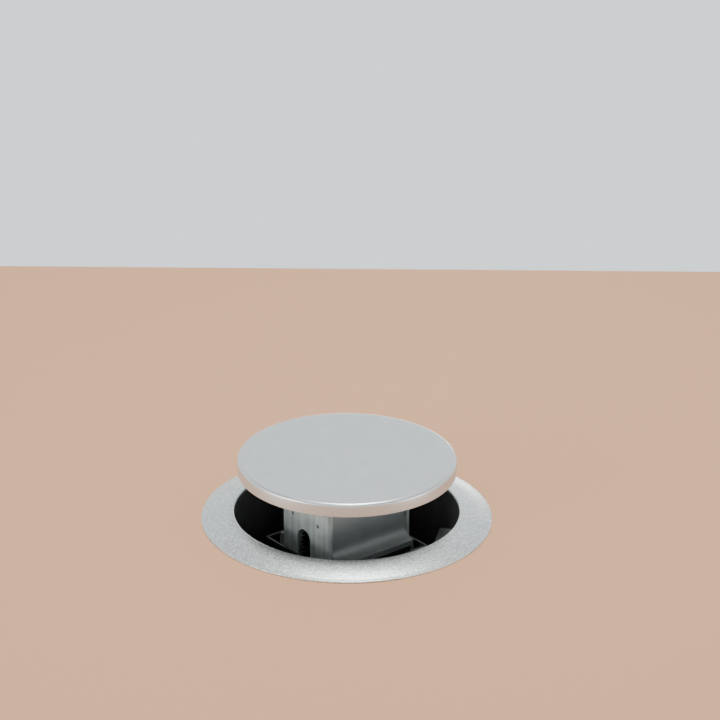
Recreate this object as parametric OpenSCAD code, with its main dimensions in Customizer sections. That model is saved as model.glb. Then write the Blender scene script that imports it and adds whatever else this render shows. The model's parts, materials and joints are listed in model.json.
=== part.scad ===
// Pop-up desk power column: a round desk ring and barrel, and a lifting column of sockets
// under a round lid.
// Origin: centre of the desk ring on the desk top. +Z is up and -Y is the front socket face.
// X runs across the wide face.

/* [Desk ring] */
// Outer diameter of the desk ring
ring_d = 160; // [156:0.5:164]
// Clear diameter inside the ring and the barrel
bore_d = 124; // [123:0.5:126]
// Height of the ring's inner rim above the desk
rim_h = 4.8; // [4:0.1:6]
// Height of the ring's thin outer lip
lip_h = 1.0; // [0.8:0.1:1.4]
// Radius on the ring's inner top edge
rim_round = 0.8; // [0.5:0.1:1]

/* [Lid] */
// Diameter of the lid
lid_d = 120; // [116:0.5:122]
// Thickness of the lid
lid_t = 7.6; // [7:0.1:9]
// Radius on the lid's top edge
lid_round = 1.8; // [1:0.1:2.5]
// Height of the lid's underside above the desk as it stands popped up
lid_z = 28.6; // [26:0.1:30]

/* [Barrel] */
// Outer diameter of the barrel's collar, which the desk cut-out clears
barrel_d = 130; // [129:0.5:131]
// Depth of that collar, which ends above the clamps' claws
collar_depth = 23; // [22:0.5:23]
// Depth of the barrel below the desk top
barrel_depth = 56; // [55:0.5:60]
// Thickness of the barrel floor
floor_t = 3; // [2:0.1:3.5]

/* [Column] */
// Width of the column across its wide face
col_w = 58.4; // [58:0.1:58.8]
// Depth of the steel channels, which are the narrow faces
col_d = 40.6; // [40:0.1:42]
// Lowest edge of the channels
col_bottom = -235; // [-240:0.5:-232]
// Sheet thickness of channels, brackets and sleeve
sheet_t = 1.2; // [1:0.1:1.2]
// Outer bend radius of the channels
bend_r = 2.2; // [1.6:0.1:2.6]
// Inner edge of the channels' short lips, from the centre line
lip_x = 26.2; // [26.1:0.1:26.4]
// Width of the long slot in each channel
slot_w = 10.8; // [10.6:0.1:11]
// Offset of the slots from the centre plane
slot_y = 1.0; // [0:0.1:1]

/* [Travel] */
// Drop from the popped-up place to the closed place
drop = 31.4; // [30:0.1:31.4]
// Rise from the popped-up place to full height
rise = 180; // [170:1:180]
// Height of the pinion shafts
drive_z = -36.4; // [-37:0.1:-36]

/* [Socket housings] */
// Outer width of a housing
house_w = 52; // [51.8:0.1:52]
// How far the housing's front face stands from the centre plane
house_y = 26.5; // [26:0.1:27]
// Height of the ledge over the modules
ledge_z = -12; // [-13:0.5:-12]
// Radius of the scoop above the ledge
scoop_r = 7.5; // [7:0.1:7.5]
// Side of a square socket or data module
module_s = 50; // [49.8:0.1:50]
// Distance from one module to the next
module_pitch = 51; // [51:0.1:51.2]

/* [Sleeve] */
// Clear width of the sleeve across the wide face
sleeve_x = 61; // [60.8:0.1:61.2]
// Clear depth of the sleeve
sleeve_y = 62; // [61:0.1:62.4]
// Top edge of the sleeve
sleeve_top = -15; // [-16:0.5:-15]
// Bottom edge of the sleeve
sleeve_bottom = -92; // [-96:1:-90]

/* [Lift drive] */
// Gear module of pinion and rack
gear_m = 0.8; // [0.8:0.1:0.8]
// Teeth on the pinion
pinion_teeth = 9; // [9:1:9]
// Radius of the spring motor's can
motor_r = 10; // [9:0.5:10]

/* [Clamps] */
// Distance of the clamp screws from the centre
clamp_r = 56; // [56:0.1:56.2]
// Top of the claws, which is the desk's underside
claw_z = -25; // [-26:0.5:-24]
// Reach of a claw from its screw
claw_reach = 19.5; // [18:0.5:19.5]

/* [Hidden] */
$fn = 96;

// Gap left between pieces that only touch, and a cut's overrun
gap = 0.05;
cut = 1;
bore_r = bore_d / 2;
barrel_r = barrel_d / 2;
ring_r = ring_d / 2;
lid_r = lid_d / 2;
// Shoulder inside the ring that sits on the barrel
seat_z = rim_h - 1.8;
// The barrel below its collar, and the spigot above it inside the ring
spigot_r = barrel_r - 1;
floor_z = -barrel_depth;
// Gasket groove under the ring: inner radius, outer radius, depth
gasket = [70, 76, 0.8];
// Crown of the ring's dome over a straight slope
dome_rise = 0.6;
web_x = col_w / 2;
lip_y = col_d / 2;
slot_top = drive_z + drop;
slot_low = drive_z - rise;
wall = (house_w - module_s - 0.2) / 2;
// Thickness of the housing's panel, and its inner edge at the cable duct
panel_t = 1.8;
panel_y = house_y - scoop_r;
duct_y = 2.8;
module_top = ledge_z - 3.5;
house_bottom = module_top - 2 * module_pitch - module_s - 3.5;
column_top = 26.8;
// Face plates lie this far behind the housing's front face
face_y = house_y - 1.8;
face_t = 2.2;
// Socket body behind its face plate: outer half-width, wall, and back face
body_half = 23;
body_wall = 1.5;
body_back = 4;
// Pin spacing of a flat-blade three-pin socket
pin_x = 11.1;
pin_z = 11.1;
shutter_y = face_y - face_t - 0.2;
shutter_t = 1.8;
clamp_angles = [69, 189, 309];
claw_h = 8;
nut_r = 3.9;
screw_r = 2.5;
// Pockets in the barrel: inner face, tangential span, roof and floor
pocket_x = 50;
pocket_y = [-6.6, 20.5];
pocket_z = [-44.5, -14];
pocket_wall = 1.5;
// Screws that hold the sleeve's flange to the barrel floor, and those that hold the motors
flange_screws = [[-14, -39], [-14, 39], [14, -39], [14, 39]];
motor_screw_z = [drive_z - 12.5, drive_z + 12.5];
// Where rivets and flush screws cross the channels' webs: [y, z]
web_points = [[-10.9, 6.8], [10.9, 6.8], [-13, -90], [13, -90],
    [-13, -150], [13, -150], [-8, -228], [8, -228]];
rivet_r = 1.1;
lid_screw_places = [[-15, -10], [-15, 10], [15, -10], [15, 10]];
latch_at = [40.5, 21];
latch_top = -8;
hook_pivot = [7, -30];
pinion_r = gear_m * pinion_teeth / 2;
tooth_pitch = gear_m * PI;
pinion_x = [26.25, 27.85];
inlet_half = [14, 10];
grommet_x = 20.5;

// Points on an arc about c, from angle a to angle b
function arc(c, r, a, b, n = 8) =
    [for (i = [0:n]) let (t = a + (b - a) * i / n) c + r * [cos(t), sin(t)]];
function socket_z(k) = module_top - module_s / 2 - module_pitch * k;

// A box from its lowest to its highest corner
module block(low, high) {
    translate(low) cube(high - low);
}

// A box between two corners given in any order
module any_block(p, q) {
    block([for (i = [0:2]) min(p[i], q[i])], [for (i = [0:2]) max(p[i], q[i])]);
}

// A round bar between two points
module rod(p, q, r) {
    d = q - p;
    translate(p)
        rotate([0, acos(d[2] / norm(d)), atan2(d[1], d[0])])
            cylinder(r = r, h = norm(d));
}

// A cylinder along X
module shaft(x0, x1, y, z, r) {
    translate([x0, y, z]) rotate([0, 90, 0]) cylinder(r = r, h = x1 - x0);
}

// Both sides of the column
module both_sides() {
    children();
    mirror([1, 0, 0]) children();
}

// The same piece on the front or the back face
module on_face(back) {
    rotate([0, 0, back ? 180 : 0]) children();
}

// ---------- desk ring, barrel and sleeve ----------

module desk_ring() {
    start = ring_r - 0.4;
    end = bore_r + rim_round;
    dome = [for (t = [0:1 / 14:1])
        [start + (end - start) * t, lip_h + (rim_h - lip_h) * t + dome_rise * sin(180 * t)]];
    inner = arc([bore_r + rim_round, rim_h - rim_round], rim_round, 90, 180);
    under = [[bore_r, seat_z], [spigot_r + gap, seat_z], [spigot_r + gap, 0],
        [gasket[0], 0], [gasket[0], gasket[2]], [gasket[1], gasket[2]], [gasket[1], 0]];
    color("silver")
        rotate_extrude($fn = 180)
            polygon(concat([[ring_r, 0], [ring_r, lip_h * 0.6]], dome, inner, under));
}

module ring_gasket() {
    color("black")
        rotate_extrude($fn = 180)
            polygon([[gasket[0] + gap, 0], [gasket[0] + gap, gasket[2] - gap],
                [gasket[1] - gap, gasket[2] - gap], [gasket[1] - gap, 0]]);
}

module pocket_shell() {
    block([pocket_x - pocket_wall, pocket_y[0] - pocket_wall, pocket_z[0] - pocket_wall],
        [barrel_r, pocket_y[1] + pocket_wall, pocket_z[1] + pocket_wall]);
}

module barrel() {
    color("dimgray")
        difference() {
            union() {
                difference() {
                    union() {
                        translate([0, 0, -collar_depth])
                            cylinder(r = barrel_r, h = collar_depth, $fn = 180);
                        translate([0, 0, floor_z])
                            cylinder(r = spigot_r, h = barrel_depth + seat_z - gap, $fn = 180);
                    }
                    translate([0, 0, floor_z + floor_t])
                        cylinder(r = bore_r, h = barrel_depth + 9, $fn = 180);
                }
                intersection() {
                    translate([0, 0, floor_z]) cylinder(r = spigot_r - 0.5, h = barrel_depth, $fn = 180);
                    for (a = clamp_angles) rotate(a) pocket_shell();
                }
                for (p = flange_screws)
                    translate([p[0], p[1], floor_z + cut]) cylinder(r = 3.6, h = floor_t + 4);
            }
            for (a = clamp_angles) rotate(a) {
                block([pocket_x, pocket_y[0], pocket_z[0]], [barrel_r + 5, pocket_y[1], pocket_z[1]]);
                translate([clamp_r, 0, pocket_z[0] - 5]) cylinder(r = screw_r + 0.08, h = 40);
            }
            block([-sleeve_x / 2 - sheet_t - 0.2, -sleeve_y / 2 - sheet_t - 0.2, floor_z - cut],
                [sleeve_x / 2 + sheet_t + 0.2, sleeve_y / 2 + sheet_t + 0.2, floor_z + floor_t + cut]);
            for (p = flange_screws)
                translate([p[0], p[1], floor_z - cut]) cylinder(r = 1.5, h = 8);
        }
}

module guide_sleeve() {
    in = [sleeve_x / 2, sleeve_y / 2];
    out = [in[0] + sheet_t, in[1] + sheet_t];
    color("lightgray")
        difference() {
            union() {
                block([-out[0], -out[1], sleeve_bottom], [out[0], out[1], sleeve_top]);
                block([-20, -44, floor_z - sheet_t - gap], [20, 44, floor_z - gap]);
            }
            block([-in[0], -in[1], sleeve_bottom - cut], [in[0], in[1], sleeve_top + cut]);
            shaft(-out[0] - cut, out[0] + cut, slot_y, drive_z, 5.1);
            for (z = motor_screw_z)
                shaft(-out[0] - cut, out[0] + cut, slot_y, z, 1.25);
            for (p = flange_screws)
                translate([p[0], p[1], floor_z - 4]) cylinder(r = 1.6, h = 8);
        }
}

module chassis_screws() {
    under = floor_z - sheet_t - 2 * gap;
    color("gainsboro") {
        for (p = flange_screws) translate([p[0], p[1], under]) {
            cylinder(r = 1.45, h = 7.5);
            difference() {
                translate([0, 0, -2.4]) cylinder(r = 2.8, h = 2.4);
                translate([0, 0, -3.4]) cylinder(r = 1.5, h = 2.2, $fn = 6);
            }
        }
        both_sides()
            for (z = motor_screw_z) {
                shaft(30.6, 34.6, slot_y, z, 1.2);
                shaft(33.5, 35.1, slot_y, z, 2.3);
            }
    }
}

module glide_pads() {
    color("white")
        both_sides()
            for (y = [-17, 9])
                block([web_x + 0.3, y, -86], [sleeve_x / 2 - gap, y + 8, -26]);
}

module guide_blocks() {
    color("white")
        both_sides()
            for (s = [-1, 1])
                any_block([lip_x + 0.3, s * (lip_y + 0.3), -86],
                    [sleeve_x / 2 - gap, s * (sleeve_y / 2 - gap), -46]);
}

// ---------- spring motors, pinions and racks ----------

// A can on the sleeve, a boss that reaches into the channel's slot, and a strap for its two screws
module spring_motor() {
    seat = sleeve_x / 2 + sheet_t + gap;
    strap = 33.4;
    ear_r = 2.7;
    color("dimgray")
        difference() {
            union() {
                shaft(seat, 41, slot_y, drive_z, motor_r);
                shaft(web_x - 1.05, 33, slot_y, drive_z, 5);
                for (z = motor_screw_z)
                    shaft(seat, strap, slot_y, z, ear_r);
                block([seat, slot_y - ear_r, motor_screw_z[0]], [strap, slot_y + ear_r, motor_screw_z[1]]);
            }
            shaft(20, 37, slot_y, drive_z, 1.55);
            for (z = motor_screw_z)
                shaft(20, 40, slot_y, z, 1.25);
        }
}

module left_spring_motor() {
    mirror([1, 0, 0]) spring_motor();
}

module right_spring_motor() {
    spring_motor();
}

// Teeth are narrower than half a pitch, so that they run free in the rack
module pinion() {
    root = pinion_r - 0.85;
    color("ivory") {
        shaft(pinion_x[0], 36, slot_y, drive_z, 1.5);
        shaft(pinion_x[0], pinion_x[1], slot_y, drive_z, root);
        translate([pinion_x[0], slot_y, drive_z])
            for (i = [0:pinion_teeth - 1])
                rotate([i * 360 / pinion_teeth, 0, 0])
                    rotate([90, 0, 90])
                        linear_extrude(pinion_x[1] - pinion_x[0])
                            polygon([[1, -0.6], [root, -0.6], [pinion_r, -0.42], [pinion_r + 0.6, -0.2],
                                [pinion_r + 0.6, 0.2], [pinion_r, 0.42], [root, 0.6], [1, 0.6]]);
    }
}

module left_pinion() {
    mirror([1, 0, 0]) pinion();
}

module right_pinion() {
    pinion();
}

module rack() {
    teeth = 88;
    top = 1.5;
    pitch_y = slot_y + pinion_r;
    // Half a pitch off, so that a gap faces the pinion at rest
    low = drive_z - (teeth - 14.5) * tooth_pitch;
    flank = [for (i = [0:teeth - 1])
        for (p = [[1.0, 0.75], [-0.6, 0.25], [-0.6, -0.25], [1.0, -0.75]])
            [pitch_y + p[0], low + i * tooth_pitch - p[1]]];
    color("gainsboro")
        translate([pinion_x[0] + gap, 0, 0])
            rotate([90, 0, 90])
                linear_extrude(pinion_x[1] - pinion_x[0] - gap)
                    polygon(concat([[pitch_y + 4.5, low - 2.2], [pitch_y + 1.0, low - 2.2]], flank,
                        [[pitch_y + 1.0, top], [pitch_y + 4.5, top]]));
}

module left_rack() {
    mirror([1, 0, 0]) rack();
}

module right_rack() {
    rack();
}

// ---------- latch ----------

module latch_block() {
    color("black")
        translate([latch_at[0], latch_at[1], 0])
            difference() {
                block([-6, -7.5, floor_z + floor_t + gap], [6, 7.5 + 3.5, latch_top]);
                translate([0, 0, -26]) cylinder(r = 3.8, h = 20);
                block([-1.8, 0, -34], [1.8, 9.6, latch_top + cut]);
                shaft(-7, 7, hook_pivot[0], hook_pivot[1], 1.25);
            }
}

module latch_pin() {
    color("silver")
        translate([latch_at[0], latch_at[1], 0])
            shaft(-6, 6, hook_pivot[0], hook_pivot[1], 1.2);
}

module latch_hook() {
    color("goldenrod")
        translate([latch_at[0], latch_at[1], 0])
            difference() {
                union() {
                    shaft(-1.5, 1.5, hook_pivot[0], hook_pivot[1], 2.2);
                    block([-1.5, 6, hook_pivot[1]], [1.5, 8, -12.6]);
                    block([-1.5, 3.7, -15.2], [1.5, 8, -12.6]);
                }
                shaft(-2, 2, hook_pivot[0], hook_pivot[1], 1.26);
            }
}

module latch_striker() {
    tip = lid_z - 15;
    color("silver")
        translate([latch_at[0], latch_at[1], tip]) {
            cylinder(r = 3.2, h = 2);
            cylinder(r = 2, h = 15 - gap);
            translate([0, 0, 13]) cylinder(r = 4.5, h = 2 - gap);
        }
}

// ---------- desk clamps ----------

module clamp_screw() {
    color("gainsboro")
        translate([clamp_r, 0, 0]) {
            translate([0, 0, pocket_z[0] - pocket_wall - 1]) cylinder(r = screw_r, h = 35);
            difference() {
                translate([0, 0, pocket_z[1] + pocket_wall + gap]) cylinder(r = 4, h = 3);
                translate([0, 0, pocket_z[1] + pocket_wall + cut]) cylinder(r = 2.3, h = 4, $fn = 6);
            }
        }
}

module clamp_nut() {
    low = claw_z - claw_h;
    color("goldenrod")
        translate([clamp_r, 0, 0])
            difference() {
                union() {
                    translate([0, 0, low - 1.3]) cylinder(r = nut_r, h = claw_h + 1.3);
                    translate([0, 0, low - 1.3]) cylinder(r = 5.3, h = 1.2);
                }
                translate([0, 0, low - 3]) cylinder(r = screw_r + 0.06, h = claw_h + 6);
            }
}

// A boss round the nut, and an arm that thins towards its serrated tip
module clamp_claw() {
    arm = [[3, 0], [claw_reach, 0], [claw_reach, 2.6], [claw_reach - 2, 3.4], [5, claw_h], [3, claw_h]];
    color("darkgray")
        translate([clamp_r, 0, claw_z - claw_h])
            difference() {
                union() {
                    cylinder(r = 5.6, h = claw_h);
                    translate([0, 0, claw_h]) rotate([-90, 0, 0])
                        translate([0, 0, -3.6])
                            linear_extrude(7.2)
                                polygon(arm);
                }
                translate([0, 0, -cut]) cylinder(r = nut_r + 0.06, h = claw_h + 2 * cut);
                for (x = [9:3:18])
                    block([x, -4, claw_h - 0.7], [x + 1.2, 4, claw_h + cut]);
            }
}

module clamp_screw_a() { rotate(clamp_angles[0]) clamp_screw(); }
module clamp_screw_b() { rotate(clamp_angles[1]) clamp_screw(); }
module clamp_screw_c() { rotate(clamp_angles[2]) clamp_screw(); }
module clamp_nut_a() { rotate(clamp_angles[0]) clamp_nut(); }
module clamp_nut_b() { rotate(clamp_angles[1]) clamp_nut(); }
module clamp_nut_c() { rotate(clamp_angles[2]) clamp_nut(); }
module clamp_claw_a() { rotate(clamp_angles[0]) clamp_claw(); }
module clamp_claw_b() { rotate(clamp_angles[1]) clamp_claw(); }
module clamp_claw_c() { rotate(clamp_angles[2]) clamp_claw(); }

// ---------- lid and its bracket ----------

module lid() {
    top = lid_z + lid_t;
    edge = arc([lid_r - lid_round, top - lid_round], lid_round, 0, 90);
    color("silver")
        difference() {
            union() {
                rotate_extrude($fn = 180)
                    polygon(concat([[lid_r - 3, lid_z], [lid_r - 0.5, lid_z], [lid_r, lid_z + 0.5]], edge,
                        [[0, top], [0, top - 2.2], [lid_r - 3, top - 2.2]]));
                for (p = lid_screw_places)
                    translate([p[0], p[1], lid_z + 2.1]) cylinder(r = 4, h = lid_t - 3);
            }
            for (p = lid_screw_places)
                translate([p[0], p[1], lid_z + 2]) cylinder(r = 1.95, h = 4);
        }
}

module lid_backing() {
    color("dimgray")
        difference() {
            translate([0, 0, lid_z]) cylinder(r = lid_r - 3.1, h = 2, $fn = 180);
            for (p = lid_screw_places)
                translate([p[0], p[1], lid_z - cut]) cylinder(r = 2.1, h = 4);
        }
}

module lid_bracket() {
    top = lid_z - gap;
    x = web_x - sheet_t - gap;
    color("lightgray")
        difference() {
            union() {
                block([-x, -17, top - 1.6], [x, 17, top]);
                both_sides() block([x - 1.4, -14, 2], [x, 14, top]);
            }
            for (p = lid_screw_places)
                translate([p[0], p[1], top - 3]) cylinder(r = 2.1, h = 5);
            for (p = web_points)
                shaft(-40, 40, p[0], p[1], rivet_r + gap);
        }
}

module lid_screws() {
    head = lid_z - 1.6 - 2 * gap;
    color("gainsboro")
        for (p = lid_screw_places)
            translate([p[0], p[1], head]) {
                cylinder(r = 1.9, h = 7);
                difference() {
                    translate([0, 0, -2.4]) cylinder(r = 3.5, h = 2.4);
                    translate([0, 0, -3.4]) cylinder(r = 1.6, h = 2.2, $fn = 6);
                }
            }
}

// ---------- column frame ----------

// The channel's section: web, two rounded bends and two short lips, on the right
module channel_section() {
    inner_r = bend_r - sheet_t;
    cx = web_x - bend_r;
    cy = lip_y - bend_r;
    outer = concat(arc([cx, -cy], bend_r, -90, 0), arc([cx, cy], bend_r, 0, 90));
    inner = concat(arc([cx, cy], inner_r, 90, 0), arc([cx, -cy], inner_r, 0, -90));
    polygon(concat([[lip_x, -lip_y]], outer, [[lip_x, lip_y], [lip_x, lip_y - sheet_t]], inner,
        [[lip_x, -lip_y + sheet_t]]));
}

module channel() {
    color("lightgray")
        difference() {
            translate([0, 0, col_bottom]) linear_extrude(lid_z - 0.1 - col_bottom) channel_section();
            block([web_x - 3, slot_y - slot_w / 2, slot_low], [web_x + cut, slot_y + slot_w / 2, slot_top]);
            for (z = [slot_low, slot_top])
                shaft(web_x - 3, web_x + cut, slot_y, z, slot_w / 2);
            for (p = web_points)
                shaft(web_x - 3, web_x + cut, p[0], p[1], rivet_r + gap);
        }
}

module left_channel() {
    mirror([1, 0, 0]) channel();
}

module right_channel() {
    channel();
}

// The rivets into the housings stop inside their side walls
module channel_rivets() {
    color("silver")
        both_sides()
            for (p = web_points)
                shaft(abs(p[1] + 120) < 60 ? house_w / 2 - 0.5 : 26, web_x - 0.02, p[0], p[1], rivet_r);
}

module housing() {
    low = house_bottom;
    half = house_w / 2;
    plate_back = -face_y + face_t;
    inside = half - wall;
    scoop = arc([-house_y, ledge_z + scoop_r], scoop_r, 0, -90, 12);
    back_scoop = arc([-house_y, ledge_z + scoop_r], scoop_r + panel_t, -60, 0, 10);
    color("gray")
        difference() {
            union() {
                // Panel, scoop and ledge in one run across the width
                translate([-half, 0, 0]) rotate([90, 0, 90])
                    linear_extrude(house_w)
                        polygon(concat([[-panel_y + panel_t, column_top], [-panel_y, column_top]], scoop,
                            [[-house_y, module_top + 0.5], [-duct_y, module_top + 0.5],
                                [-duct_y, ledge_z], [-house_y + 9, ledge_z]], back_scoop));
                both_sides() {
                    block([inside, -house_y, low], [half, -duct_y, ledge_z]);
                    block([body_half + 0.2, plate_back + 0.1, low],
                        [inside + 0.2, plate_back + 1.7, ledge_z]);
                }
                block([-half, -house_y, low], [half, -duct_y, low + 3]);
                for (k = [0, 1], seam = socket_z(k) - module_pitch / 2)
                    block([-half, -house_y + 1, seam - 0.4], [half, -house_y + 6, seam + 0.4]);
            }
            for (p = web_points)
                shaft(-half - cut, half + cut, p[0], p[1], rivet_r + gap);
            block([-14.5, -17, low - cut], [14.5, 0, low + 4]);
        }
}

module front_housing() {
    on_face(false) housing();
}

module back_housing() {
    on_face(true) housing();
}

// ---------- sockets ----------

module socket(k) {
    plate = -face_y + face_t;
    color("black")
        translate([0, 0, socket_z(k)])
            difference() {
                union() {
                    block([-module_s / 2, -face_y, -module_s / 2], [module_s / 2, plate, module_s / 2]);
                    block([-body_half, plate - 0.5, -body_half], [body_half, -body_back, body_half]);
                }
                block([-body_half + body_wall, plate, -body_half + body_wall],
                    [body_half - body_wall, -body_back - body_wall, body_half - body_wall]);
                block([-2.4, -face_y - cut, pin_z - 4.4], [2.4, plate + cut, pin_z + 4.4]);
                for (x = [-pin_x, pin_x])
                    block([x - 3.6, -face_y - cut, -pin_z - 2.4], [x + 3.6, plate + cut, -pin_z + 2.4]);
                for (p = [[-pin_x, -pin_z], [pin_x, -pin_z], [0, pin_z]])
                    block([p[0] - 2.8, -body_back - 3, p[1] - 1.1],
                        [p[0] + 2.8, -body_back + cut, p[1] + 1.1]);
            }
}

module socket_front_upper() { on_face(false) socket(0); }
module socket_front_lower() { on_face(false) socket(1); }
module socket_back_upper() { on_face(true) socket(0); }
module socket_back_lower() { on_face(true) socket(1); }

// The shutter closes both lower holes, and its stem's ramp meets the earth pin
module shutter(k) {
    color("dimgray")
        translate([0, -shutter_y, socket_z(k)]) {
            block([-16, 0, -8.2], [16, shutter_t, -4.6]);
            for (x = [-16, 6])
                block([x, 0, -14.3], [x + 10, shutter_t, -8.2]);
            block([-2, 0, -4.6], [2, shutter_t, 6.5]);
            translate([-2, 0, 0]) rotate([90, 0, 90])
                linear_extrude(4)
                    polygon([[shutter_t, 6.5], [0, 6.5], [shutter_t, 8.6]]);
        }
}

module shutter_front_upper() { on_face(false) shutter(0); }
module shutter_front_lower() { on_face(false) shutter(1); }
module shutter_back_upper() { on_face(true) shutter(0); }
module shutter_back_lower() { on_face(true) shutter(1); }

module shutter_spring(k) {
    color("silver")
        translate([0, -shutter_y + 1.5, socket_z(k) - body_half + body_wall + gap])
            difference() {
                cylinder(r = 1.6, h = body_half - body_wall - 8.2 - 2 * gap);
                translate([0, 0, -cut]) cylinder(r = 1.1, h = body_half);
            }
}

module shutter_spring_front_upper() { on_face(false) shutter_spring(0); }
module shutter_spring_front_lower() { on_face(false) shutter_spring(1); }
module shutter_spring_back_upper() { on_face(true) shutter_spring(0); }
module shutter_spring_back_lower() { on_face(true) shutter_spring(1); }

// One bar per pole, with a spring clip, a riser and a tail at each socket
module pole_bar(x, dz, clip, leaf) {
    front = -shutter_y + shutter_t + 0.6;
    low = house_bottom - 1;
    block([x - 3, -3, low], [x + 3, -2.1, socket_z(0) + dz + 3]);
    for (k = [0, 1])
        translate([x, 0, socket_z(k) + dz]) {
            block([-2.5, -7, -0.8], [2.5, -2.5, 0.8]);
            block([-clip[0], -7.6, -clip[1]], [clip[0], -6.8, clip[1]]);
            for (s = [-1, 1])
                if (leaf == "flat")
                    any_block([-clip[0], front, s * 2.2], [clip[0], -6.8, s * clip[1]]);
                else
                    any_block([s * 2.2, front, -clip[1]], [s * clip[0], -6.8, clip[1]]);
        }
}

module live_bars() {
    color("goldenrod")
        for (back = [false, true]) on_face(back) pole_bar(pin_x, -pin_z, [3, 2.9], "flat");
}

module neutral_bars() {
    color("goldenrod")
        for (back = [false, true]) on_face(back) pole_bar(-pin_x, -pin_z, [3, 2.9], "flat");
}

module earth_bars() {
    color("goldenrod")
        for (back = [false, true]) on_face(back) pole_bar(0, pin_z, [2.9, 4], "upright");
}

// ---------- data modules ----------

module data_plate() {
    plate = -face_y + face_t;
    color("black")
        translate([0, 0, socket_z(2)])
            difference() {
                block([-module_s / 2, -face_y, -module_s / 2], [module_s / 2, plate, module_s / 2]);
                for (x = [-10, 10])
                    block([x - 7.6, -face_y - cut, -8.6], [x + 7.6, plate + cut, 8.6]);
            }
}

module data_plate_front() {
    on_face(false) data_plate();
}

module data_plate_back() {
    on_face(true) data_plate();
}

module data_jacks() {
    color("dimgray")
        for (back = [false, true], x = [-10, 10])
            on_face(back)
                translate([x, 0, socket_z(2)])
                    difference() {
                        block([-7.5, -face_y - 0.5, -8.5], [7.5, -6, 8.5]);
                        block([-5.9, -face_y - 2, -5.5], [5.9, -10, 2.9]);
                        block([-3, -face_y - 2, 2.8], [3, -10, 5]);
                    }
}

// ---------- bottom of the column ----------

module bottom_plate() {
    x = web_x - sheet_t - gap;
    color("lightgray")
        difference() {
            union() {
                block([-x, -18.5, col_bottom], [x, 18.5, col_bottom + 1.6]);
                both_sides() block([x - 1.4, -12, col_bottom], [x, 12, col_bottom + 11]);
            }
            block([-inlet_half[0] - 0.2, -inlet_half[1] - 0.2, col_bottom - cut],
                [inlet_half[0] + 0.2, inlet_half[1] + 0.2, col_bottom + 4]);
            for (s = [-1, 1])
                translate([s * grommet_x, 0, col_bottom - cut]) cylinder(r = 4.6, h = 4);
            for (p = web_points)
                shaft(-40, 40, p[0], p[1], rivet_r + gap);
        }
}

module mains_inlet() {
    h = inlet_half;
    color("black")
        difference() {
            union() {
                block([-h[0], -h[1], col_bottom - 0.5], [h[0], h[1], col_bottom + 26]);
                block([-h[0] - 1, -h[1] - 3, col_bottom - 1.6], [h[0] + 1, h[1] + 3, col_bottom - gap]);
            }
            block([-12.2, -8.7, col_bottom - 3], [12.2, 8.7, col_bottom + 15]);
            for (p = [[-7, -2], [7, -2], [0, 2]])
                block([p[0] - 1.05, p[1] - 2.05, col_bottom], [p[0] + 1.05, p[1] + 2.05, col_bottom + 30]);
        }
}

module inlet_blades() {
    color("gainsboro")
        for (p = [[-7, -2], [7, -2], [0, 2]])
            block([p[0] - 1, p[1] - 2, col_bottom + 2], [p[0] + 1, p[1] + 2, col_bottom + 30]);
}

// Straight wires from the blades to the bars, and a jumper between the two neutral bars
module inlet_wires() {
    top = house_bottom - 1.9;
    low = col_bottom + 30.5;
    runs = [
        [[7, -3.2, low], [pin_x, -2.6, top]],
        [[-7, -3.2, low], [-pin_x, -2.6, top - 2]],
        [[0, 0.8, low], [0, -2.6, top - 2]],
        [[0, 3.2, low], [0, 2.8, top - 2]],
        [[7, -0.8, low], [-pin_x, 2.6, top]],
        [[pin_x, 2.6, top], [-pin_x, -2.6, top]]];
    color("peru")
        for (w = runs)
            rod(w[0], w[1], 0.8);
}

module cable_grommets() {
    color("black")
        for (s = [-1, 1])
            translate([s * grommet_x, 0, 0])
                difference() {
                    union() {
                        translate([0, 0, col_bottom - 1.6]) cylinder(r = 5.2, h = 1.6 - gap);
                        translate([0, 0, col_bottom - 1.6]) cylinder(r = 4.5, h = 5);
                        translate([0, 0, col_bottom + 1.6 + gap]) cylinder(r = 5.2, h = 1.6);
                    }
                    translate([0, 0, col_bottom - 3]) cylinder(r = 3.2, h = 9);
                }
}

desk_ring();
ring_gasket();
barrel();
guide_sleeve();
chassis_screws();
glide_pads();
guide_blocks();
left_spring_motor();
right_spring_motor();
left_pinion();
right_pinion();
latch_block();
latch_pin();
latch_hook();
latch_striker();
clamp_screw_a();
clamp_screw_b();
clamp_screw_c();
clamp_nut_a();
clamp_nut_b();
clamp_nut_c();
clamp_claw_a();
clamp_claw_b();
clamp_claw_c();
lid();
lid_backing();
lid_bracket();
lid_screws();
left_channel();
right_channel();
channel_rivets();
left_rack();
right_rack();
front_housing();
back_housing();
socket_front_upper();
socket_front_lower();
socket_back_upper();
socket_back_lower();
shutter_front_upper();
shutter_front_lower();
shutter_back_upper();
shutter_back_lower();
shutter_spring_front_upper();
shutter_spring_front_lower();
shutter_spring_back_upper();
shutter_spring_back_lower();
live_bars();
neutral_bars();
earth_bars();
data_plate_front();
data_plate_back();
data_jacks();
bottom_plate();
mains_inlet();
inlet_blades();
inlet_wires();
cable_grommets();
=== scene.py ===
import json
import math

import bmesh
import bpy
from mathutils import Matrix, Vector


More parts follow.
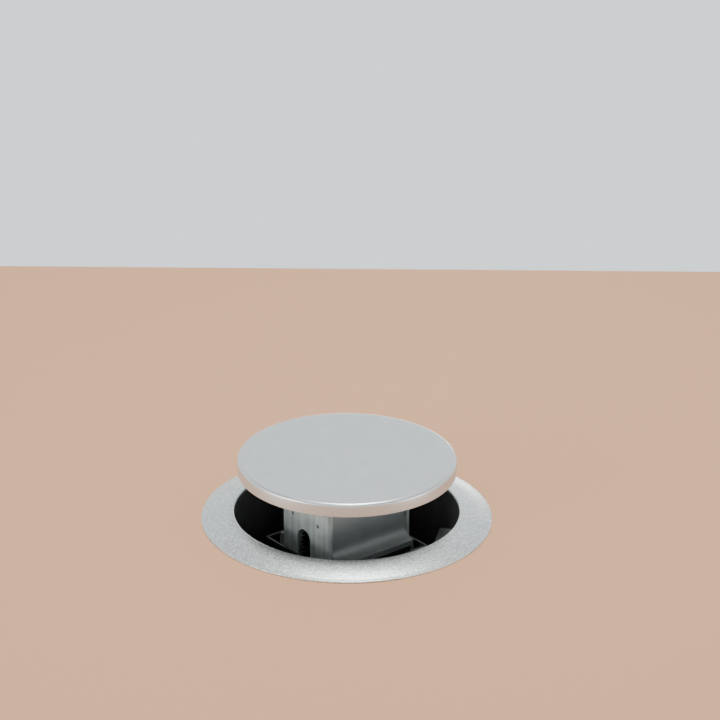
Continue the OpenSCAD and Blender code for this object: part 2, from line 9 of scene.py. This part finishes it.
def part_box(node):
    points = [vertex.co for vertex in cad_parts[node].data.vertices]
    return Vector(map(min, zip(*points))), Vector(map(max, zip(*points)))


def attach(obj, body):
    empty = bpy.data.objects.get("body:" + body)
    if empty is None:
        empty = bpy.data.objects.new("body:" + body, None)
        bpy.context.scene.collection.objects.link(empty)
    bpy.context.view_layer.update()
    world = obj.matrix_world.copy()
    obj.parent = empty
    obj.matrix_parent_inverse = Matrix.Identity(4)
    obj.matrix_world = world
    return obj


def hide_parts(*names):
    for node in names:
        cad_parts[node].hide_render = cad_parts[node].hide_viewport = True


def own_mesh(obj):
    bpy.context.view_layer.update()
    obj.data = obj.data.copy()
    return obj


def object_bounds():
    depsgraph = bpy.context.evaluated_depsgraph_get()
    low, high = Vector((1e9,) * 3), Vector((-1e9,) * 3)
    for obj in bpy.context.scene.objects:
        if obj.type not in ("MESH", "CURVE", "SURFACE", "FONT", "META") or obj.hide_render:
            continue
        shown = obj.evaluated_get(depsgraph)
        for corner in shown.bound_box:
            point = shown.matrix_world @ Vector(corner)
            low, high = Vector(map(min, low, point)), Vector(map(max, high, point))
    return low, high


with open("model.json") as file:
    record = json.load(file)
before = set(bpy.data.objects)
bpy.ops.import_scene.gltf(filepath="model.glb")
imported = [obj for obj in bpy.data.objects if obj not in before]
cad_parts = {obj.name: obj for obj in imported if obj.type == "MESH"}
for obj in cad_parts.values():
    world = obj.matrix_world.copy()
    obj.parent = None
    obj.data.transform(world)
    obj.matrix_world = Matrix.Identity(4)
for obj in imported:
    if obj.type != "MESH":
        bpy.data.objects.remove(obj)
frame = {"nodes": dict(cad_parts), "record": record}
cad_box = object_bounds()

MM = 0.001
SLOT_OF = {s["node"]: s["material_slot"] for s in frame["record"]["subparts"]}
BODY_OF = {n: b for b, nodes in frame["record"]["behaviour"]["bodies"].items() for n in nodes}


# ---------- camera, lights and stage ----------

# The view looks down on the ring from its front left, with a long lens
HEADING = math.radians(39.5)
PITCH = math.radians(22.84)
ROLL = 0.008
CAMERA_AT = Vector((-0.8530, -1.0452, 0.6618))
LENS = 136.07
SENSOR = 36.0


def plan(across, along, height=0.0):
    """A point given across and along the camera's heading, in metres."""
    c, s = math.cos(HEADING), math.sin(HEADING)
    return Vector((across * c + along * s, along * c - across * s, height))


def make_camera():
    right = plan(1, 0)
    forward = plan(0, math.cos(PITCH), -math.sin(PITCH))
    up = right.cross(forward)
    side = right * math.cos(ROLL) + up * math.sin(ROLL)
    top = up * math.cos(ROLL) - right * math.sin(ROLL)
    data = bpy.data.cameras.new("camera")
    data.lens = LENS
    data.sensor_width = SENSOR
    camera = bpy.data.objects.new("camera", data)
    camera.matrix_world = Matrix((side, top, -forward)).transposed().to_4x4()
    camera.location = CAMERA_AT
    bpy.context.scene.collection.objects.link(camera)
    bpy.context.scene.camera = camera


def softbox(name, at, aim, size, watts):
    """A white area light at a point, turned to face another."""
    data = bpy.data.lights.new(name, "AREA")
    data.shape = "RECTANGLE"
    data.size, data.size_y = size
    data.energy = watts
    light = bpy.data.objects.new(name, data)
    light.location = at
    light.rotation_euler = (aim - at).to_track_quat("-Z", "Y").to_euler()
    bpy.context.scene.collection.objects.link(light)


def make_lights():
    world = bpy.data.worlds.new("studio")
    world.use_nodes = True
    background = world.node_tree.nodes["Background"]
    background.inputs["Color"].default_value = (0.88, 0.92, 0.95, 1)
    background.inputs["Strength"].default_value = 0.42
    bpy.context.scene.world = world
    ring = Vector((0, 0, 0.01))
    under = Vector((0, 0, -0.12))
    softbox("overhead", plan(0.10, 0.22, 1.55), ring, (0.36, 0.30), 34)
    softbox("front_key", plan(0.05, -0.75, 1.35), ring, (0.3, 0.25), 3)
    softbox("left_fill", plan(-1.25, -0.95, 0.42), ring, (0.4, 0.25), 9)
    softbox("low_left", plan(-1.3, -0.5, -0.10), under, (0.6, 0.5), 6)
    softbox("low_right", plan(1.3, -0.5, -0.10), under, (0.6, 0.5), 6)
    softbox("low_back", plan(0.2, 1.5, -0.05), under, (0.6, 0.5), 6)


def make_desk():
    """A pale desk plane with the cut-out in it, just larger than the view."""
    outline = [plan(-0.19, -0.26), plan(0.19, -0.26), plan(0.27, 0.382), plan(-0.27, 0.382)]
    hole_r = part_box("barrel")[1].x + 0.5 * MM
    steps = 96
    turns = [2 * math.pi * i / steps for i in range(steps)]
    rim = [Vector((math.cos(a), math.sin(a), 0)) * hole_r for a in turns]
    bm = bmesh.new()
    edges = []
    for loop in (rim, outline):
        verts = [bm.verts.new(p) for p in loop]
        edges += [bm.edges.new((verts[i - 1], verts[i])) for i in range(len(verts))]
    bmesh.ops.triangle_fill(bm, edges=edges, use_beauty=True, normal=(0, 0, 1))
    desk = new_object("desk_plane", bm, False)
    desk.data.materials.append(plain("desk_pale", (0.54, 0.295, 0.17), 0.7, gloss=0.1))
    desk.visible_shadow = False
    return desk


def make_backdrop():
    """A pale round floor well below, that curves up into a wall far behind every view."""
    low = cad_box[0].z / MM - 1300
    wall_r, cove, height, thick = 3200, 500, 4200, 20
    outer_r, top = wall_r + thick, low + height
    profile = [(0, low), (wall_r - cove, low)]
    profile += arc((wall_r - cove, low + cove), cove, -90, 0, 12)
    profile += [(wall_r, top), (outer_r, top), (outer_r, low - thick), (0, low - thick)]
    backdrop = new_object("backdrop", lathe(profile, 96))
    backdrop.data.materials.append(plain("backdrop_pale", (0.80, 0.83, 0.84), 0.8, 0.36))
    backdrop.visible_shadow = False
    return backdrop


# ---------- materials ----------

def new_material(name):
    material = bpy.data.materials.new(name)
    material.use_nodes = True
    return material, material.node_tree.nodes, material.node_tree.links


def plain(name, colour, roughness, glow=0.0, gloss=0.5):
    """One colour, for the stage, which may glow a little to stay even."""
    material = new_material(name)[0]
    shader = material.node_tree.nodes["Principled BSDF"]
    shader.inputs["Base Color"].default_value = (*colour, 1)
    shader.inputs["Roughness"].default_value = roughness
    shader.inputs["Specular IOR Level"].default_value = gloss
    shader.inputs["Emission Color"].default_value = (*colour, 1)
    shader.inputs["Emission Strength"].default_value = glow
    return material


def ramp(nodes, links, source, low, high, spread=(0.3, 0.7)):
    """Two colours, or two greys, mixed by a texture's value."""
    node = nodes.new("ShaderNodeValToRGB")
    for element, place, value in zip(node.color_ramp.elements, spread, (low, high)):
        element.position = place
        element.color = (*value, 1) if hasattr(value, "__len__") else (value, value, value, 1)
    links.new(source, node.inputs["Fac"])
    return node.outputs["Color"]


def noise(nodes, links, scale, detail=3.0, stretch=(1, 1, 1)):
    """Noise in the piece's own coordinates; scale is in features per metre."""
    place = nodes.new("ShaderNodeTexCoord")
    mapping = nodes.new("ShaderNodeMapping")
    mapping.inputs["Scale"].default_value = stretch
    texture = nodes.new("ShaderNodeTexNoise")
    texture.inputs["Scale"].default_value = scale
    texture.inputs["Detail"].default_value = detail
    links.new(place.outputs["Object"], mapping.inputs["Vector"])
    links.new(mapping.outputs["Vector"], texture.inputs["Vector"])
    return texture.outputs["Fac"]


def bump(nodes, links, height, strength, distance, onto=None):
    node = nodes.new("ShaderNodeBump")
    node.inputs["Strength"].default_value = strength
    node.inputs["Distance"].default_value = distance
    links.new(height, node.inputs["Height"])
    if onto is not None:
        links.new(onto, node.inputs["Normal"])
    return node.outputs["Normal"]


def mixed(nodes, links, a, b, factor):
    node = nodes.new("ShaderNodeMix")
    node.data_type = "RGBA"
    node.blend_type = "MULTIPLY"
    node.inputs["Factor"].default_value = factor
    links.new(a, node.inputs["A"])
    links.new(b, node.inputs["B"])
    return node.outputs["Result"]


def silver_paint(name, grain, contrast, depth):
    """Satin metallic paint: flakes over a slightly orange-peeled casting, with a faint cloudiness."""
    material, nodes, links = new_material(name)
    shader = nodes["Principled BSDF"]
    shader.inputs["Metallic"].default_value = 0.8
    shader.inputs["Coat Weight"].default_value = 0.35
    shader.inputs["Coat Roughness"].default_value = 0.16
    flakes = noise(nodes, links, grain, 2.0)
    sparkle = noise(nodes, links, grain * 2.7, 1.0)
    cloud = noise(nodes, links, 60, 4.0)
    low = tuple(c - contrast for c in (0.56, 0.585, 0.585))
    high = tuple(c + contrast for c in (0.62, 0.645, 0.64))
    colour = ramp(nodes, links, flakes, low, high, (0.36, 0.66))
    shade = ramp(nodes, links, cloud, 0.94, 1.0)
    links.new(mixed(nodes, links, colour, shade, 1.0), shader.inputs["Base Color"])
    links.new(ramp(nodes, links, sparkle, 0.46, 0.26), shader.inputs["Roughness"])
    peel = bump(nodes, links, flakes, 0.5, depth * MM)
    links.new(bump(nodes, links, sparkle, 0.35, depth * 0.4 * MM, peel), shader.inputs["Normal"])
    return material


def galvanised(name, low, high, rough):
    """Zinc-coated sheet, drawn along its length, with a soft spangle."""
    material, nodes, links = new_material(name)
    shader = nodes["Principled BSDF"]
    shader.inputs["Metallic"].default_value = 0.55
    streaks = noise(nodes, links, 500, 4.0, (1, 1, 0.02))
    spangle = noise(nodes, links, 160, 3.0)
    colour = ramp(nodes, links, streaks, low, high, (0.32, 0.68))
    shade = ramp(nodes, links, spangle, 0.84, 1.0, (0.35, 0.65))
    links.new(mixed(nodes, links, colour, shade, 1.0), shader.inputs["Base Color"])
    links.new(ramp(nodes, links, spangle, rough[0], rough[1]), shader.inputs["Roughness"])
    links.new(bump(nodes, links, streaks, 0.3, 0.05 * MM), shader.inputs["Normal"])
    return material


def moulded(name, colour, rough, grain=1500, depth=0.03, vary=0.12):
    """Moulded plastic or rubber with a fine spark-eroded grain and faint handling marks."""
    material, nodes, links = new_material(name)
    shader = nodes["Principled BSDF"]
    fine = noise(nodes, links, grain, 2.0)
    broad = noise(nodes, links, 90, 4.0)
    low = tuple(c * (1 - vary) for c in colour)
    high = tuple(min(1.0, c * (1 + vary)) for c in colour)
    links.new(ramp(nodes, links, broad, low, high), shader.inputs["Base Color"])
    links.new(ramp(nodes, links, broad, rough + 0.06, rough - 0.06), shader.inputs["Roughness"])
    links.new(bump(nodes, links, fine, 0.5, depth * MM), shader.inputs["Normal"])
    return material


def satin_grey_painted_shade(skin):
    """Satin grey paint, darkened to near black within skin metres of the centre plane as painted shade
    inside the housing.
    """
    material, nodes, links = new_material("satin_grey_painted_shade")
    shader = nodes["Principled BSDF"]
    shader.inputs["Metallic"].default_value = 0.35
    peel = noise(nodes, links, 900, 2.0)
    broad = noise(nodes, links, 70, 4.0)
    paint = ramp(nodes, links, broad, (0.25, 0.262, 0.257), (0.30, 0.313, 0.308))
    # Painted shade: faces within skin of the centre plane, inside the housing, take 0.08 of the paint's
    # colour
    place = nodes.new("ShaderNodeTexCoord")
    depth = nodes.new("ShaderNodeSeparateXYZ")
    links.new(place.outputs["Object"], depth.inputs["Vector"])
    away = nodes.new("ShaderNodeMath")
    away.operation = "ABSOLUTE"
    links.new(depth.outputs["Y"], away.inputs[0])
    outside_painted_shade = nodes.new("ShaderNodeMath")
    outside_painted_shade.operation = "GREATER_THAN"
    outside_painted_shade.inputs[1].default_value = skin
    links.new(away.outputs["Value"], outside_painted_shade.inputs[0])
    painted_shade = ramp(nodes, links, outside_painted_shade.outputs["Value"], 0.08, 1.0, (0.4, 0.6))
    links.new(mixed(nodes, links, paint, painted_shade, 1.0), shader.inputs["Base Color"])
    links.new(ramp(nodes, links, peel, 0.5, 0.4), shader.inputs["Roughness"])
    links.new(bump(nodes, links, peel, 0.3, 0.03 * MM), shader.inputs["Normal"])
    return material


def bare_metal(name, low, high, rough, grain=700, depth=0.02):
    """Plated, turned or cast metal."""
    material, nodes, links = new_material(name)
    shader = nodes["Principled BSDF"]
    shader.inputs["Metallic"].default_value = 1.0
    marks = noise(nodes, links, grain, 4.0)
    tone = noise(nodes, links, 120, 3.0)
    links.new(ramp(nodes, links, tone, low, high), shader.inputs["Base Color"])
    links.new(ramp(nodes, links, marks, rough[0], rough[1]), shader.inputs["Roughness"])
    links.new(bump(nodes, links, marks, 0.4, depth * MM), shader.inputs["Normal"])
    return material


def make_materials():
    return {
        "lid_paint": silver_paint("lid_paint", 1500, 0.02, 0.03),
        "ring_paint": silver_paint("ring_paint", 850, 0.12, 0.16),
        "black_coat": moulded("black_coat", (0.028, 0.028, 0.027), 0.38, 1100, 0.02),
        "galvanised": galvanised("galvanised", (0.36, 0.395, 0.375), (0.52, 0.56, 0.54), (0.55, 0.66)),
        "rack_steel": bare_metal("rack_steel", (0.16, 0.165, 0.16), (0.22, 0.225, 0.22), (0.6, 0.5)),
        # The housing's inside, within 18 mm of its centre plane, is darkened as painted shade
        "grey_housing": satin_grey_painted_shade(18 * MM),
        "black_plastic": moulded("black_plastic", (0.022, 0.022, 0.024), 0.42),
        "barrel_plastic": moulded("barrel_plastic", (0.052, 0.052, 0.049), 0.55),
        "white_nylon": moulded("white_nylon", (0.78, 0.77, 0.71), 0.45, 900, 0.02, 0.04),
        "grey_shutter": moulded("grey_shutter", (0.14, 0.14, 0.15), 0.4),
        "rubber": moulded("rubber", (0.018, 0.018, 0.018), 0.7, 700, 0.05),
        "wire": moulded("wire", (0.30, 0.10, 0.045), 0.35, 1200, 0.01),
        "zinc_screw": bare_metal("zinc_screw", (0.62, 0.62, 0.60), (0.74, 0.74, 0.71), (0.32, 0.22)),
        "brass": bare_metal("brass", (0.72, 0.52, 0.22), (0.84, 0.64, 0.32), (0.34, 0.22)),
        "zinc_casting": bare_metal("zinc_casting", (0.38, 0.39, 0.40), (0.50, 0.51, 0.52),
                                   (0.6, 0.42), 450, 0.12),
    }


# ---------- mesh helpers ----------

def new_object(name, bm, smooth=True):
    """An object from a finished bmesh, smooth over shallow angles."""
    bmesh.ops.remove_doubles(bm, verts=bm.verts, dist=1e-6)
    bmesh.ops.recalc_face_normals(bm, faces=bm.faces)
    mesh = bpy.data.meshes.new(name)
    bm.to_mesh(mesh)
    bm.free()
    if smooth:
        mesh.shade_smooth()
        mesh.set_sharp_from_angle(angle=math.radians(35))
    piece = bpy.data.objects.new(name, mesh)
    bpy.context.scene.collection.objects.link(piece)
    return piece


def arc(centre, radius, start, end, steps):
    """Points on an arc in a profile's plane, angles in degrees."""
    turns = [math.radians(start + (end - start) * i / steps) for i in range(steps + 1)]
    return [(centre[0] + radius * math.cos(a), centre[1] + radius * math.sin(a)) for a in turns]


def lathe(profile, segments):
    """A closed profile of (radius, height) in millimetres, turned about Z."""
    bm = bmesh.new()
    rings = []
    for i in range(segments):
        a = 2 * math.pi * i / segments
        rings.append([bm.verts.new((r * math.cos(a) * MM, r * math.sin(a) * MM, z * MM))
                      for r, z in profile])
    for i in range(segments):
        a, b = rings[i], rings[(i + 1) % segments]
        for k in range(len(profile)):
            n = (k + 1) % len(profile)
            if profile[k][0] == 0 and profile[n][0] == 0:
                continue
            bm.faces.new((a[k], b[k], b[n], a[n]))
    return bm


def bridge(bm, low, high):
    """Quads between two closed loops of vertices."""
    count = len(low)
    for i in range(count):
        n = (i + 1) % count
        bm.faces.new((low[i], low[n], high[n], high[i]))


def skin(bm, rings):
    """Quads between closed loops of vertices, and a cap at each end."""
    for low, high in zip(rings, rings[1:]):
        bridge(bm, low, high)
    bm.faces.new(list(reversed(rings[0])))
    bm.faces.new(rings[-1])


def stands_for(piece, node, material):
    """The piece takes a CAD node's place, body and material slot."""
    piece.data.materials.append(material)
    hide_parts(node)
    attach(piece, BODY_OF[node])
    return piece


def dress(node, material):
    """A CAD node keeps its shape and gets soft edges, smooth curves and its material."""
    piece = frame["nodes"][node]
    piece.data.materials.clear()
    piece.data.materials.append(material)
    piece.data.shade_smooth()
    weld = piece.modifiers.new("weld", "WELD")
    weld.merge_threshold = 0.002 * MM
    flat = piece.modifiers.new("flat", "DECIMATE")
    flat.decimate_type = "DISSOLVE"
    flat.angle_limit = math.radians(0.5)
    edge = piece.modifiers.new("edge", "BEVEL")
    edge.width = 0.15 * MM
    edge.segments = 2
    edge.limit_method = "ANGLE"
    edge.angle_limit = math.radians(40)
    edge.harden_normals = True
    even = piece.modifiers.new("even", "WEIGHTED_NORMAL")
    even.keep_sharp = True


# ---------- ring and lid ----------

def make_ring(materials):
    """The desk ring: a thin lip, a shallow dome up to the rim, and a small rounded inner edge."""
    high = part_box("desk_ring")[1] / MM
    outer, rim = high.x, high.z
    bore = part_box("barrel")[1].x / MM - 3.0
    lip, edge, bulge = 1.0, 0.8, 0.6
    profile = arc((outer - 0.35, 0.35), 0.35, -90, 0, 5)
    profile += arc((outer - 0.45, lip - 0.45), 0.45, 0, 80, 6)
    start, end = outer - 0.9, bore + edge
    steps = 28
    for i in range(1, steps + 1):
        t = i / steps
        profile.append((start + (end - start) * t,
                        lip + (rim - lip) * t + bulge * math.sin(math.pi * t)))
    profile += arc((bore + edge, rim - edge), edge, 90, 180, 8)[1:]
    seat, spigot = rim - 1.8, bore + 2.55
    profile += [(bore, seat), (spigot, seat), (spigot, 0), (70, 0), (70, 0.8), (76, 0.8), (76, 0)]
    piece = new_object("desk_ring_shell", lathe(profile, 320))
    stands_for(piece, "desk_ring", materials["ring_paint"])


def make_lid(materials):
    """The lid: a flat die-cast disc with a rounded top edge and a small lower edge."""
    lo, hi = (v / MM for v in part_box("lid"))
    radius, top, bottom = hi.x, hi.z, lo.z
    edge, low_edge, skirt, skin = 1.8, 0.5, 3.0, 2.2
    profile = [(0, top)]
    profile += [(r, top) for r in (radius * 0.4, radius * 0.8, radius - edge - 1.5)]
    profile += arc((radius - edge, top - edge), edge, 90, 0, 14)
    profile += arc((radius - low_edge, bottom + low_edge), low_edge, 0, -90, 6)
    profile += [(radius - skirt, bottom), (radius - skirt, top - skin), (0, top - skin)]
    piece = new_object("lid_shell", lathe(profile, 320))
    stands_for(piece, "lid", materials["lid_paint"])


def make_lid_backing(materials):
    """The lid's backing disc, with two shallow moulded grooves."""
    lo, hi = (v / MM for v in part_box("lid_backing"))
    radius = hi.x
    profile = [(0, lo.z)]
    for groove in (24, 44):
        profile += [(groove - 0.6, lo.z), (groove - 0.3, lo.z + 0.4), (groove + 0.3, lo.z + 0.4),
                    (groove + 0.6, lo.z)]
    profile += [(radius - 0.4, lo.z), (radius, lo.z + 0.4), (radius, hi.z), (0, hi.z)]
    piece = new_object("lid_backing_disc", lathe(profile, 192))
    stands_for(piece, "lid_backing", materials["black_plastic"])


# ---------- turned, wound and threaded pieces ----------

def loft(rings):
    """Quads between rings of points in millimetres, closed at both ends."""
    bm = bmesh.new()
    skin(bm, [[bm.verts.new((x * MM, y * MM, z * MM)) for x, y, z in ring] for ring in rings])
    return bm


def round_ring(centre, radius, z):
    """A ring of points about a vertical axis; radius is a number or a function of the angle."""
    count = 48
    points = []
    for i in range(count):
        a = 2 * math.pi * i / count
        r = radius(a) if callable(radius) else radius
        points.append((centre[0] + r * math.cos(a), centre[1] + r * math.sin(a), z))
    return points


def hexagon(across):
    """The radius of a hexagon of that width across its flats, as a function of the angle."""
    def radius(a):
        return across / 2 / math.cos((a + math.pi / 6) % (math.pi / 3) - math.pi / 6)
    return radius


def thread(major, minor, pitch, z):
    """The radius of a right-hand thread at height z, as a function of the angle."""
    def radius(a):
        phase = (z / pitch - a / (2 * math.pi)) % 1
        return minor + (major - minor) * min(1, max(0, 1.6 * (1 - abs(2 * phase - 1)) - 0.3))
    return radius


def make_clamp_screw(node, materials):
    """A threaded clamp screw with a socket head."""
    lo, hi = (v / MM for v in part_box(node))
    centre = ((lo.x + hi.x) / 2, (lo.y + hi.y) / 2)
    head_r = (hi.x - lo.x) / 2
    head_low, pitch, major, minor = hi.z - 3, 0.8, 2.5, 2.05
    point, runout, steps = 0.5, 1.1, 6
    rings = [round_ring(centre, minor - 0.4, lo.z)]
    levels = int((head_low - runout - lo.z - point) / pitch * steps)
    for i in range(levels):
        z = lo.z + point + i * pitch / steps
        rings.append(round_ring(centre, thread(major, minor, pitch, z), z))
    rings += [round_ring(centre, r, z) for r, z in (
        (major, head_low - 0.5), (major, head_low), (head_r - 0.3, head_low), (head_r, head_low + 0.3),
        (head_r, hi.z - 0.4), (head_r - 0.4, hi.z), (2.7, hi.z))]
    rings.append(round_ring(centre, hexagon(4.2), hi.z - 0.15))
    rings.append(round_ring(centre, hexagon(4.0), hi.z - 2.1))
    stands_for(new_object(node + "_threaded", loft(rings)), node, materials["zinc_screw"])


def make_spring(place, materials):
    """A shutter's return spring, wound with closed end turns, built at its CAD node's length; the real
    spring shortens as the shutter drops.
    """
    node = "shutter_spring_" + place
    lo, hi = (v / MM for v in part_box(node))
    cx, cy = (lo.x + hi.x) / 2, (lo.y + hi.y) / 2
    wire = 0.2
    coil_r = (hi.x - lo.x) / 2 - wire
    # All turns, the closed turns at each end, steps in a turn, and sides of the wire
    turns, dead, around, sides = 9.5, 1.25, 28, 8
    low, high = lo.z + wire, hi.z - wire
    bm = bmesh.new()
    coil = []
    steps = int(turns * around)
    for i in range(steps + 1):
        turn = turns * i / steps
        a = 2 * math.pi * turn
        rise = min(1, max(0, (turn - dead) / (turns - 2 * dead)))
        closed = 2 * wire * (min(turn, dead) + max(0, turn - (turns - dead)))
        z = low + closed + (high - low - 4 * wire * dead) * rise
        ring = []
        for k in range(sides):
            b = 2 * math.pi * k / sides
            r = coil_r + wire * math.cos(b)
            ring.append(bm.verts.new(((cx + r * math.cos(a)) * MM, (cy + r * math.sin(a)) * MM,
                                      (z + wire * math.sin(b)) * MM)))
        coil.append(ring)
    skin(bm, coil)
    spring = stands_for(new_object(node + "_coil", bm), node, materials["zinc_screw"])
    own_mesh(spring)


def make_motor_cap(side, materials):
    """The stepped and ribbed end cap of a spring motor's can."""
    node = side + "_spring_motor"
    lo, hi = (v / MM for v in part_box(node))
    sign = 1 if side == "right" else -1
    outer = hi.x if sign > 0 else -lo.x
    centre_z = sum(v.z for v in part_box(side + "_pinion")) / 2 / MM
    radius = (hi.y - lo.y) / 2
    profile = [(0, 0), (radius - 0.5, 0), (radius - 0.5, 0.5), (radius - 0.8, 0.8), (radius - 2.2, 0.8),
               (radius - 2.6, 0.3), (5.2, 0.3), (4.8, 1.1), (4.4, 1.4), (2.2, 1.4), (1.9, 1.1), (0, 1.1)]
    cap = new_object(node + "_cap", lathe(profile, 96))
    cap.data.materials.append(materials["barrel_plastic"])
    cap.rotation_euler.y = sign * math.pi / 2
    cap.location = (sign * outer * MM, (lo.y + hi.y) / 2 * MM, centre_z * MM)
    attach(cap, BODY_OF[node])


# ---------- socket and data modules ----------

def rounded_square(half, radius):
    """Points round a square with rounded corners, in a plane."""
    count = 8
    points = []
    for k, (sx, sy) in enumerate(((1, 1), (-1, 1), (-1, -1), (1, -1))):
        centre = (sx * (half - radius), sy * (half - radius))
        points += arc(centre, radius, 90 * k, 90 * k + 90, count)
    return points


def make_module_rim(name, node, materials):
    """A raised, softly rounded rim round a module's face plate."""
    lo, hi = (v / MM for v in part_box(node))
    front = lo.y < 0 and abs(lo.y) > abs(hi.y)
    out = -1 if front else 1
    face = lo.y if front else hi.y
    half = (hi.x - lo.x) / 2
    middle = (lo.z + hi.z) / 2
    section = [(half - 0.3, 0), (half - 0.3, 0.35), (half - 0.55, 0.6), (half - 1.5, 0.6),
               (half - 2.0, 0.15), (half - 2.1, 0)]
    bm = bmesh.new()
    loops = []
    for size, height in section:
        corner = max(0.6, 3.0 - (half - size))
        loops.append([bm.verts.new((x * MM, (face + out * height) * MM, (middle + z) * MM))
                      for x, z in rounded_square(size, corner)])
    for k in range(len(loops)):
        bridge(bm, loops[k - 1], loops[k])
    rim = new_object(name, bm)
    rim.data.materials.append(materials["black_plastic"])
    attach(rim, BODY_OF[node])


def make_jack_contacts(face, materials):
    """Eight sprung contacts in each of a face's two network jacks, in one piece."""
    lo, hi = (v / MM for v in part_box("data_jacks"))
    out = -1 if face == "front" else 1
    middle = (lo.z + hi.z) / 2
    reach = hi.y
    pitch = 1.02
    section = ((-0.2, -0.12), (0.2, -0.12), (0.2, 0.12), (-0.2, 0.12))
    spine = [(reach - 3.2, middle - 5.3), (reach - 4.2, middle - 5.1),
             (reach - 11.5, middle - 1.2), (reach - 12.5, middle - 1.0)]
    bm = bmesh.new()
    for centre in (-10, 10):
        for i in range(8):
            x = centre + (i - 3.5) * pitch
            skin(bm, [[bm.verts.new(((x + dx) * MM, out * y * MM, (z + dz) * MM))
                       for dx, dz in section] for y, z in spine])
    contacts = new_object("data_contacts_" + face, bm, False)
    contacts.data.materials.append(materials["brass"])
    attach(contacts, BODY_OF["data_jacks"])


def build():
    materials = make_materials()
    make_ring(materials)
    make_lid(materials)
    make_lid_backing(materials)
    replaced = {"desk_ring", "lid", "lid_backing"}
    for letter in "abc":
        make_clamp_screw("clamp_screw_" + letter, materials)
        replaced.add("clamp_screw_" + letter)
    for face in ("front", "back"):
        for level in ("upper", "lower"):
            place = face + "_" + level
            make_spring(place, materials)
            replaced.add("shutter_spring_" + place)
            make_module_rim("socket_rim_" + place, "socket_" + place, materials)
        make_module_rim("data_rim_" + face, "data_plate_" + face, materials)
        make_jack_contacts(face, materials)
    for side in ("left", "right"):
        make_motor_cap(side, materials)
    # The racks and rivets are of a darker steel than the other plated pieces
    finish_of = dict(SLOT_OF, left_rack="rack_steel", right_rack="rack_steel",
                     channel_rivets="rack_steel")
    for node in sorted(frame["nodes"]):
        if node not in replaced:
            dress(node, materials[finish_of[node]])


make_camera()
make_lights()
make_desk()
make_backdrop()
build()
